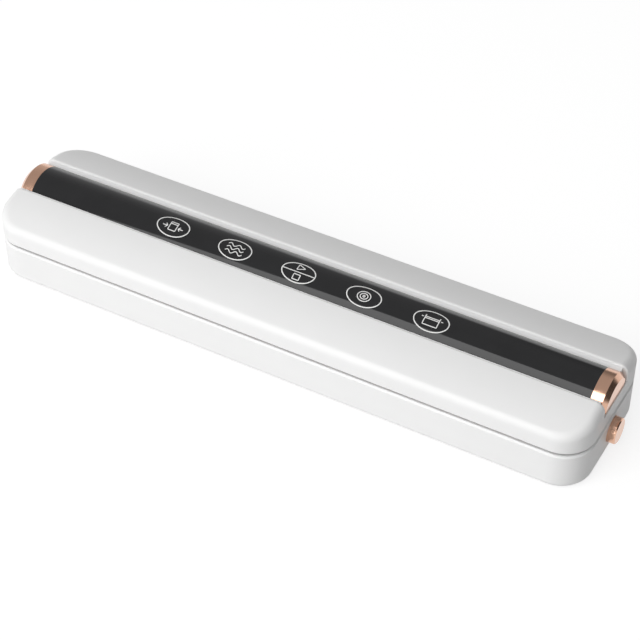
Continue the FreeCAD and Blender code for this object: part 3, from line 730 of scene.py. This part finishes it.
# Screw heads in the pockets underneath
def screws():
    """Round-topped heads at the bottom of the four pockets."""
    low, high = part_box("base_shell")
    pocket_end_inset = 15.0 * MM
    pocket_side_inset = 14.0 * MM
    pocket_top = low.z + 8.0 * MM
    head = 2.3 * MM
    height = 1.6 * MM
    steps = 28
    profile = [(0.35 * head, pocket_top - height), (0.75 * head, pocket_top - 0.9 * height),
               (head, pocket_top - 0.45 * height), (head, pocket_top)]
    shapes = []
    for x in (low.x + pocket_end_inset, high.x - pocket_end_inset):
        for y in (low.y + pocket_side_inset, high.y - pocket_side_inset):
            shapes.append(turned(profile, x, y, steps))
    new_piece("pocket_screws", merged(shapes), "steel", "base", surface=screw_steel)


# Studio
floor_size = 8.0
floor_grey = 0.6
seen_grey = 0.3
seen_glow = 0.78
backdrop_white = 1.0
backdrop_top = 0.1
backdrop_end = 0.18
world_overhead = 0.46
overhead_start = 0.35
overhead_full = 0.75
world_left = 0.72
left_full = -0.6
left_end = -0.1
world_fill = 0.06
lamp_radiance = 3.2
lamp_left = -1.0
lamp_right = 0.42
lamp_bottom = 0.2
lamp_top = 2.8
lamp_forward = -1.25


def seen_rays(tree):
    """1 for camera, glossy and transmission rays, 0 for the rest."""
    path = node(tree, "ShaderNodeLightPath")
    first = node(tree, "ShaderNodeMath", operation="MAXIMUM")
    both = node(tree, "ShaderNodeMath", operation="MAXIMUM")
    tree.links.new(path.outputs["Is Camera Ray"], first.inputs[0])
    tree.links.new(path.outputs["Is Glossy Ray"], first.inputs[1])
    tree.links.new(first.outputs[0], both.inputs[0])
    tree.links.new(path.outputs["Is Transmission Ray"], both.inputs[1])
    return both.outputs[0]


def add_floor():
    """A plain pale floor, nearly white to the camera, that keeps the shadow."""
    mesh = bpy.data.meshes.new("floor")
    half = floor_size / 2
    corners = [(-half, -half, 0), (half, -half, 0), (half, half, 0), (-half, half, 0)]
    mesh.from_pydata(corners, [], [(0, 1, 2, 3)])
    floor = bpy.data.objects.new("floor", mesh)
    scene.collection.objects.link(floor)
    made = bpy.data.materials.new("floor")
    made.use_nodes = True
    tree = made.node_tree
    tree.nodes.clear()
    surface = node(tree, "ShaderNodeOutputMaterial")
    plain = node(tree, "ShaderNodeBsdfDiffuse")
    plain.inputs["Color"].default_value = (floor_grey, floor_grey, floor_grey, 1.0)
    shown = node(tree, "ShaderNodeBsdfDiffuse")
    shown.inputs["Color"].default_value = (seen_grey, seen_grey, seen_grey, 1.0)
    glow = node(tree, "ShaderNodeEmission")
    glow.inputs["Strength"].default_value = seen_glow
    both = node(tree, "ShaderNodeAddShader")
    tree.links.new(shown.outputs[0], both.inputs[0])
    tree.links.new(glow.outputs[0], both.inputs[1])
    mix = node(tree, "ShaderNodeMixShader")
    tree.links.new(seen_rays(tree), mix.inputs["Fac"])
    tree.links.new(plain.outputs[0], mix.inputs[1])
    tree.links.new(both.outputs[0], mix.inputs[2])
    tree.links.new(mix.outputs[0], surface.inputs["Surface"])
    mesh.materials.append(made)


def add_world():
    """Soft light from overhead and from the left, a little fill, and a white backdrop low down."""
    world = bpy.data.worlds.new("studio")
    scene.world = world
    world.use_nodes = True
    tree = world.node_tree
    background = tree.nodes["Background"]
    coords = node(tree, "ShaderNodeTexCoord")
    parts = node(tree, "ShaderNodeSeparateXYZ")
    tree.links.new(coords.outputs["Generated"], parts.inputs[0])
    height = parts.outputs["Z"]
    overhead = graded(tree, height, overhead_start, overhead_full, 0.0, 1.0)
    sides = graded(tree, parts.outputs["X"], left_full, left_end, world_left, world_fill)
    low_down = graded(tree, height, backdrop_top, backdrop_end, 1.0, 0.0)
    light = node(tree, "ShaderNodeMix", data_type="FLOAT")
    light.inputs["B"].default_value = world_overhead
    tree.links.new(overhead, light.inputs["Factor"])
    tree.links.new(sides, light.inputs["A"])
    backdrop = node(tree, "ShaderNodeMath", operation="MULTIPLY")
    tree.links.new(seen_rays(tree), backdrop.inputs[0])
    tree.links.new(low_down, backdrop.inputs[1])
    shown = node(tree, "ShaderNodeMix", data_type="FLOAT")
    shown.inputs["B"].default_value = backdrop_white
    tree.links.new(backdrop.outputs[0], shown.inputs["Factor"])
    tree.links.new(light.outputs["Result"], shown.inputs["A"])
    tree.links.new(shown.outputs["Result"], background.inputs["Color"])


def add_lamp():
    """A large softbox in front of the object."""
    width = lamp_right - lamp_left
    height = lamp_top - lamp_bottom
    data = bpy.data.lights.new("front_softbox", "AREA")
    data.shape = "RECTANGLE"
    data.size = width
    data.size_y = height
    data.energy = lamp_radiance * math.pi * width * height
    lamp = bpy.data.objects.new("front_softbox", data)
    lamp.location = ((lamp_left + lamp_right) / 2, lamp_forward, (lamp_bottom + lamp_top) / 2)
    lamp.rotation_euler = Vector((0, 1, 0)).to_track_quat("-Z", "Z").to_euler()
    scene.collection.objects.link(lamp)


# Finishes of the CAD nodes that no piece replaces
slot_of = {
    "white_case": ("base_shell", "lid_shell"),
    "inner_plastic": ("base_deck", "lid_liner"),
    "black_panel": ("touch_panel",),
    "rose_gold": ("right_end_cap", "left_end_cap", "right_release_button", "left_release_button"),
    "slider_plastic": ("right_latch_slider", "left_latch_slider"),
    "heater_base": ("heater_bar",),
    "steel": ("heating_wire", "hinge_pins", "pump_motor"),
    "contact_brass": ("heater_terminals", "inlet_pins"),
    "pump_plastic": ("pump_head",),
    "board_green": ("power_board", "touch_board"),
    "core_dark": ("transformer",),
    "component_black": ("board_parts", "power_inlet"),
}
for slot, names in slot_of.items():
    for name in names:
        paint(name, slot)

# The pieces, the studio and the camera
gasket("lower_gasket_foam", "lower_gasket", "base", True)
gasket("upper_gasket_foam", "upper_gasket", "lid", False)
press_strip()
tape()
feet()
cradle()
hose()
spring("right")
spring("left")
pads()
key_prints()
side_strip("front", -1, front_strip_drop)
side_strip("rear", 1, rear_strip_drop)
screws()
add_floor()
add_world()
add_lamp()
add_camera()
scene.view_settings.view_transform = "Standard"
